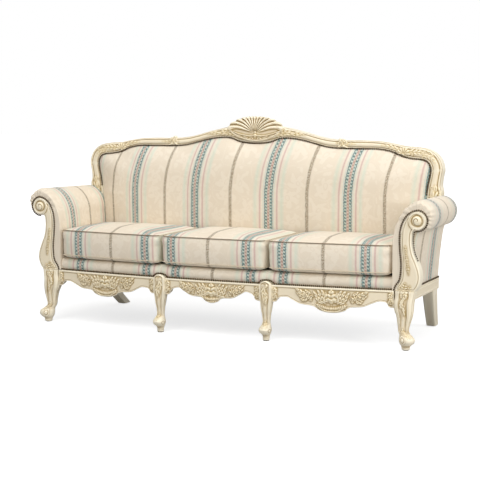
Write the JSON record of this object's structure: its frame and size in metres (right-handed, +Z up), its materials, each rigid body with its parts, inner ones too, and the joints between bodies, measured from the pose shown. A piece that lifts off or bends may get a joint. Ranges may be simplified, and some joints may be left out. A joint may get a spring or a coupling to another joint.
{
  "type": "cabriole sofa",
  "caption": "Three-seat sofa with a carved, painted show-wood frame, cabriole front legs, scroll arms, a tight padded back and loose lift-off seat cushions.",
  "frame": {"origin": "on the floor, in the middle of the sofa's width and depth", "axes": "+X to the viewer's right when facing the front, +Y to the back, +Z up"},
  "size_m": [2.1496, 0.801, 1.0547],
  "materials": {
    "painted_wood": "satin cream paint with an antique gold glaze in the carving",
    "bare_wood": "sawn, unfinished",
    "striped_damask": "woven ivory damask with blue-green, rose and brown stripes",
    "jute_webbing": "coarse woven jute",
    "black_lining": "matt spun cloth",
    "antique_bronze": "dark aged bronze nail heads",
    "screw_steel": "plain zinc",
    "glide_plastic": "moulded"
  },
  "bodies": {
    "frame": {"crest_rail": "painted_wood", "crest_shell": "painted_wood", "back_post_right": "painted_wood", "back_post_left": "painted_wood", "rear_leg_right": "painted_wood", "rear_leg_left": "painted_wood", "arm_facing_right": "painted_wood", "arm_facing_left": "painted_wood", "front_apron_right": "painted_wood", "front_apron_left": "painted_wood", "front_apron_middle": "painted_wood", "side_rail_right": "painted_wood", "side_rail_left": "painted_wood", "front_corner_leg_right": "painted_wood", "front_corner_leg_left": "painted_wood", "front_middle_leg_right": "painted_wood", "front_middle_leg_left": "painted_wood", "rear_seat_rail": "bare_wood", "lower_back_rail": "bare_wood", "arm_top_rail_right": "bare_wood", "arm_top_rail_left": "bare_wood", "seat_cross_rail_right": "bare_wood", "seat_cross_rail_left": "bare_wood", "front_corner_block_right": "bare_wood", "front_corner_block_left": "bare_wood", "rear_corner_block_right": "bare_wood", "rear_corner_block_left": "bare_wood", "arm_pad_right": "striped_damask", "arm_pad_left": "striped_damask", "outside_arm_panel_right": "striped_damask", "outside_arm_panel_left": "striped_damask", "back_pad": "striped_damask", "outside_back_panel": "striped_damask", "seat_front_border": "striped_damask", "seat_webbing_right": "jute_webbing", "seat_webbing_left": "jute_webbing", "seat_webbing_middle": "jute_webbing", "seat_deck": "black_lining", "dust_cover": "black_lining", "back_nail_trim": "antique_bronze", "arm_nail_trim_right": "antique_bronze", "arm_nail_trim_left": "antique_bronze", "front_nail_trim_right": "antique_bronze", "front_nail_trim_left": "antique_bronze", "side_nail_trim_right": "antique_bronze", "side_nail_trim_left": "antique_bronze", "front_nail_trim_middle": "antique_bronze", "front_block_screw_right": "screw_steel", "front_block_screw_left": "screw_steel", "rear_block_screw_right": "screw_steel", "rear_block_screw_left": "screw_steel", "front_corner_glide_right": "glide_plastic", "front_corner_glide_left": "glide_plastic", "front_middle_glide_right": "glide_plastic", "front_middle_glide_left": "glide_plastic", "rear_glide_right": "glide_plastic", "rear_glide_left": "glide_plastic"},
    "right_cushion": {"seat_cushion_right": "striped_damask"},
    "middle_cushion": {"seat_cushion_middle": "striped_damask"},
    "left_cushion": {"seat_cushion_left": "striped_damask"}
  },
  "joints": [
    {"name": "right_cushion_lift", "type": "slide", "parent": "frame", "child": "right_cushion", "axis": [0, 0, 1], "range_m": [0, 0.3]},
    {"name": "middle_cushion_lift", "type": "slide", "parent": "frame", "child": "middle_cushion", "axis": [0, 0, 1], "range_m": [0, 0.3]},
    {"name": "left_cushion_lift", "type": "slide", "parent": "frame", "child": "left_cushion", "axis": [0, 0, 1], "range_m": [0, 0.3]}
  ]
}
